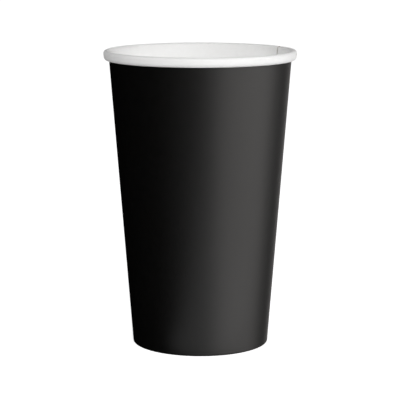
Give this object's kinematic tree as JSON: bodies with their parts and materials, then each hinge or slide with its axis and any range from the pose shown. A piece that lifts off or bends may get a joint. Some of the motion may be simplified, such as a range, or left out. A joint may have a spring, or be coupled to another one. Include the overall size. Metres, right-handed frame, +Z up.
{
  "type": "paper cup",
  "caption": "Tall single-wall paper cup for hot drinks, black outside and white inside, with a rolled rim and a recessed base.",
  "frame": {"origin": "centre of the circle that the folded foot stands on, at table height", "axes": "+Z up along the cup's axis towards the open rim; -Y is the front that the picture shows, with the side seam at the back right, 30 degrees from +X towards +Y"},
  "size_m": [0.09, 0.09, 0.1383],
  "materials": {
    "wall_board": "satin",
    "base_board": "satin"
  },
  "bodies": {
    "root": {"cup_wall": "wall_board", "cup_base": "base_board"}
  },
  "joints": []
}
